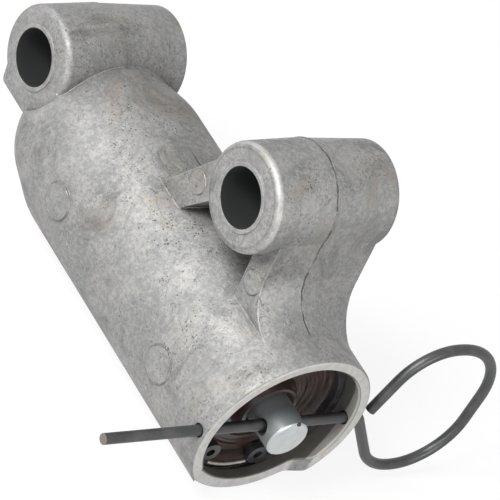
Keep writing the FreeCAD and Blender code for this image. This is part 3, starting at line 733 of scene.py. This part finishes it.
def add_piece(shape: bmesh.types.BMesh, name: str, body: str,
              finish: bpy.types.Material) -> bpy.types.Object:
    """Turn a shape into a smooth piece that moves with a body.

    Args:
        shape: the finished shape, in the part's own frame; it is freed.
        name: the piece's name.
        body: the body that it moves with.
        finish: its material.

    Returns:
        The piece.
    """
    bmesh.ops.recalc_face_normals(shape, faces=shape.faces)
    mesh = bpy.data.meshes.new(name)
    for face in shape.faces:
        face.smooth = True
    shape.to_mesh(mesh)
    shape.free()
    mesh.materials.append(finish)
    piece = bpy.data.objects.new(name, mesh)
    bpy.context.scene.collection.objects.link(piece)
    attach(piece, body)
    LOG.info("added %s with %d faces", name, len(mesh.polygons))
    return piece


@dataclass(frozen=True)
class GrooveBead:
    """The rolled edge of the ring's groove, which shows between the ring's lugs."""

    radius: float = 0.0147
    thickness: float = 0.0006
    place_x: float = 0.0759
    first_angle: float = math.radians(-112.0)
    sweep: float = math.radians(35.0)
    steps: int = 40

    def build(self, finish: bpy.types.Material) -> bpy.types.Object:
        """Sweep the bead's round section along the groove.

        Args:
            finish: the bead's material.

        Returns:
            The bead.
        """
        shape = bmesh.new()
        place = Matrix.Translation((self.place_x, 0.0, self.radius)) @ Matrix.Rotation(
            math.pi / 2.0, 4, "Y") @ Matrix.Rotation(math.pi / 2.0, 4, "X")
        bmesh.ops.create_circle(shape, segments=16, radius=self.thickness / 2.0, matrix=place)
        turn = Matrix.Rotation(self.first_angle - math.pi / 2.0, 4, "X")
        bmesh.ops.transform(shape, matrix=turn, verts=shape.verts)
        bmesh.ops.spin(shape, geom=shape.verts[:] + shape.edges[:], cent=(0.0, 0.0, 0.0),
                       axis=(1.0, 0.0, 0.0), angle=self.sweep, steps=self.steps)
        bmesh.ops.translate(shape, vec=BARREL_AXIS, verts=shape.verts)
        ends = [edge for edge in shape.edges if edge.is_boundary]
        bmesh.ops.holes_fill(shape, edges=ends, sides=0)
        return add_piece(shape, "groove_bead", "casting", finish)


@dataclass(frozen=True)
class PartingFlash:
    """The thin fin left where the two halves of the die met, over the boss and down the leg."""

    half_width: float = 0.00009
    height: float = 0.00007
    sunk: float = 0.00004
    shift: float = 0.00012
    wander: float = 0.00010
    reach: float = 0.05
    outside_x: float = 0.12
    first_angle: float = math.radians(150.0)
    last_angle: float = math.radians(-12.0)
    turn_steps: int = 110
    leg_top: float = 0.0208
    leg_foot: float = 0.0092
    leg_steps: int = 60

    def trace(self, skin: BVHTree) -> list[tuple[Vector, Vector]]:
        """Follow the casting's skin in the parting plane.

        Args:
            skin: the casting's faces.

        Returns:
            Each place on the skin with its outward direction.
        """
        centre = Vector((OFFSET_BORE.x, PARTING_Y, OFFSET_BORE.z))
        shots = []
        for step in range(self.turn_steps + 1):
            angle = self.first_angle + (self.last_angle - self.first_angle) * step / self.turn_steps
            away = Vector((math.cos(angle), 0.0, math.sin(angle)))
            shots.append((centre + away * self.reach, -away))
        for step in range(self.leg_steps + 1):
            level = self.leg_top + (self.leg_foot - self.leg_top) * step / self.leg_steps
            shots.append((Vector((self.outside_x, PARTING_Y, level)), Vector((-1.0, 0.0, 0.0))))
        found = []
        for start, aim in shots:
            place, facing, _face, _reach = skin.ray_cast(start, aim)
            if place is not None and facing.dot(aim) < 0.0:
                found.append((place, facing))
        return found

    def build(self, housing: bpy.types.Object, finish: bpy.types.Material) -> bpy.types.Object:
        """Raise the fin on the casting.

        Args:
            housing: the casting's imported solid.
            finish: the fin's material.

        Returns:
            The fin.
        """
        base = bmesh.new()
        base.from_mesh(housing.data)
        path = self.trace(BVHTree.FromBMesh(base))
        ceiling = max(corner.co.z for corner in base.verts)
        base.free()
        shape = bmesh.new()
        rows = []
        for place, facing in path:
            ragged = 1.0 + 0.7 * noise.noise(place * 900.0)
            drift = Vector((0.0, self.wander * noise.noise(place * 260.0) + self.shift, 0.0))
            side = Vector((0.0, self.half_width * ragged, 0.0))
            foot = place + drift - facing * self.sunk
            tip = place + drift + facing * self.height * ragged
            tip.z = min(tip.z, ceiling)
            rows.append([shape.verts.new(foot - side), shape.verts.new(foot + side),
                         shape.verts.new(tip)])
        for here, there in zip(rows, rows[1:]):
            for first in range(3):
                second = (first + 1) % 3
                shape.faces.new((here[first], here[second], there[second], there[first]))
        shape.faces.new(rows[0])
        shape.faces.new(reversed(rows[-1]))
        return add_piece(shape, "parting_flash", "casting", finish)


class Tensioner:
    """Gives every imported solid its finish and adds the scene's own pieces."""

    def __init__(self, nodes: dict[str, bpy.types.Object]) -> None:
        """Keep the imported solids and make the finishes.

        Args:
            nodes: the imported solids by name.
        """
        self.nodes = nodes
        self.finishes = {
            "cast_aluminium": CastAluminium().make(),
            "ground_steel": GROUND_STEEL.make(),
            "pressed_steel": PRESSED_STEEL.make(),
            "ball_steel": BALL_STEEL.make(),
            "spring_steel": SPRING_STEEL.make(),
            "bearing_plastic": BEARING_PLASTIC.make(),
            "rod_steel": RodSteel().make(),
            "seal_rubber": SealRubber().make(),
            "black_spring_steel": BLACK_RING.make(),
            "blackened_wire": BlackenedWire().make(),
        }

    def dress(self, slots: dict[str, str]) -> None:
        """Give each solid the finish of its slot.

        Args:
            slots: the slot's name for each node.
        """
        for name, solid in self.nodes.items():
            solid.data.materials.clear()
            solid.data.materials.append(self.finishes[slots[name]])
            LOG.info("dressed %s in %s", name, slots[name])

    def add_details(self) -> None:
        """Add the thin features that the solids leave out."""
        cast = self.finishes["cast_aluminium"]
        GrooveBead().build(TURNED_EDGE.make())
        PartingFlash().build(self.nodes["housing"], cast)


@dataclass(frozen=True)
class Lamp:
    """A square lamp that faces the part."""

    name: str
    place: Vector
    size: float
    power: float


LAMPS = (
    Lamp("key_lamp", Vector((0.05, -0.65, 0.67)), 0.35, 12.2),
    Lamp("side_lamp", Vector((0.85, -0.05, 0.22)), 0.40, 3.9),
    Lamp("fill_lamp", Vector((-0.60, -0.30, 0.35)), 0.60, 1.6),
    Lamp("front_lamp", Vector((0.25, -0.82, 0.12)), 0.60, 5.2),
)
LAMP_AIM = Vector((0.04, -0.01, 0.0))


@dataclass
class Studio:
    """The floor, the lamps, the white surroundings and the camera."""

    floor_z: float
    floor_size: float = 3.0
    floor_tone: float = 0.86
    floor_glow: float = 0.88
    camera_place: Vector = Vector((0.38641, -0.42930, 0.37749))
    image_right: Vector = Vector((0.46587, 0.76694, 0.44132))
    image_down: Vector = Vector((0.72147, -0.04048, -0.69126))
    lens: float = 272.93
    surroundings: float = 0.20

    def build(self) -> None:
        """Build the whole studio."""
        self.add_floor()
        self.add_surroundings()
        self.add_lamps()
        self.add_camera()

    def seen_directly(self, tree: bpy.types.NodeTree) -> Socket:
        """Tell rays from the camera and mirrored or refracted rays from the others.

        Args:
            tree: the node tree to add to.

        Returns:
            A socket that is 1 for those rays.
        """
        path = tree.nodes.new("ShaderNodeLightPath")
        first = tree.nodes.new("ShaderNodeMath")
        first.operation = "MAXIMUM"
        tree.links.new(path.outputs["Is Camera Ray"], first.inputs[0])
        tree.links.new(path.outputs["Is Glossy Ray"], first.inputs[1])
        second = tree.nodes.new("ShaderNodeMath")
        second.operation = "MAXIMUM"
        tree.links.new(first.outputs[0], second.inputs[0])
        tree.links.new(path.outputs["Is Transmission Ray"], second.inputs[1])
        return second.outputs[0]

    def add_floor(self) -> None:
        """Lay a plain pale floor that is white where nothing shades it."""
        mesh = bpy.data.meshes.new("floor")
        shape = bmesh.new()
        bmesh.ops.create_grid(shape, x_segments=1, y_segments=1, size=self.floor_size / 2.0)
        bmesh.ops.translate(shape, vec=(LAMP_AIM.x, 0.0, self.floor_z), verts=shape.verts)
        shape.to_mesh(mesh)
        shape.free()
        floor = bpy.data.objects.new("floor", mesh)
        bpy.context.scene.collection.objects.link(floor)
        material = bpy.data.materials.new("floor_paint")
        material.use_nodes = True
        tree = material.node_tree
        paint = tree.nodes["Principled BSDF"]
        paint.inputs["Base Color"].default_value = (*[self.floor_tone] * 3, 1.0)
        paint.inputs["Roughness"].default_value = 0.9
        glow = tree.nodes.new("ShaderNodeEmission")
        glow.inputs["Strength"].default_value = 1.0
        share = tree.nodes.new("ShaderNodeMath")
        share.operation = "MULTIPLY"
        share.inputs[1].default_value = self.floor_glow
        tree.links.new(self.seen_directly(tree), share.inputs[0])
        mix = tree.nodes.new("ShaderNodeMixShader")
        tree.links.new(share.outputs[0], mix.inputs[0])
        tree.links.new(paint.outputs[0], mix.inputs[1])
        tree.links.new(glow.outputs[0], mix.inputs[2])
        tree.links.new(mix.outputs[0], tree.nodes["Material Output"].inputs["Surface"])
        mesh.materials.append(material)
        floor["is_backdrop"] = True

    def add_surroundings(self) -> None:
        """Make the world white to look at and in reflections, and a soft light otherwise."""
        world = bpy.data.worlds.new("surroundings")
        bpy.context.scene.world = world
        world.use_nodes = True
        tree = world.node_tree
        backdrop = tree.nodes["Background"]
        backdrop.inputs["Color"].default_value = (1.0, 1.0, 1.0, 1.0)
        strength = tree.nodes.new("ShaderNodeMapRange")
        strength.inputs["To Min"].default_value = self.surroundings
        strength.inputs["To Max"].default_value = 1.0
        tree.links.new(self.seen_directly(tree), strength.inputs["Value"])
        tree.links.new(strength.outputs["Result"], backdrop.inputs["Strength"])

    def add_lamps(self) -> None:
        """Hang the lamps round the part."""
        for lamp in LAMPS:
            data = bpy.data.lights.new(lamp.name, "AREA")
            data.shape = "SQUARE"
            data.size = lamp.size
            data.energy = lamp.power
            hung = bpy.data.objects.new(lamp.name, data)
            hung.location = lamp.place
            hung.rotation_euler = (LAMP_AIM - lamp.place).to_track_quat("-Z", "Y").to_euler()
            bpy.context.scene.collection.objects.link(hung)

    def add_camera(self) -> None:
        """Stand the camera where the photograph was taken from."""
        data = bpy.data.cameras.new("camera")
        data.lens = self.lens
        data.sensor_width = 36.0
        data.clip_start = 0.05
        data.clip_end = 20.0
        camera = bpy.data.objects.new("camera", data)
        right = self.image_right.normalized()
        up = -(self.image_down - right * self.image_down.dot(right)).normalized()
        back = right.cross(up)
        turn = Matrix((right, up, back)).transposed().to_4x4()
        camera.matrix_world = Matrix.Translation(self.camera_place) @ turn
        bpy.context.scene.collection.objects.link(camera)
        bpy.context.scene.camera = camera


def plain(box: object) -> list[list[float]]:
    """Return a box's corners as plain lists of numbers."""
    return [[float(value) for value in corner] for corner in box]


def main() -> None:
    """Build the scene: finishes, the scene's own pieces and the studio."""
    logging.basicConfig(level=logging.INFO, format="%(name)s: %(message)s")
    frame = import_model()
    solid_box = plain(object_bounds())
    slots = {item["node"]: item["material_slot"] for item in frame["record"]["subparts"]}
    tensioner = Tensioner(frame["nodes"])
    tensioner.dress(slots)
    tensioner.add_details()
    Studio(floor_z=solid_box[0][2]).build()
    view = bpy.context.scene.view_settings
    view.view_transform = "Standard"


if __name__ == "__main__":
    main()
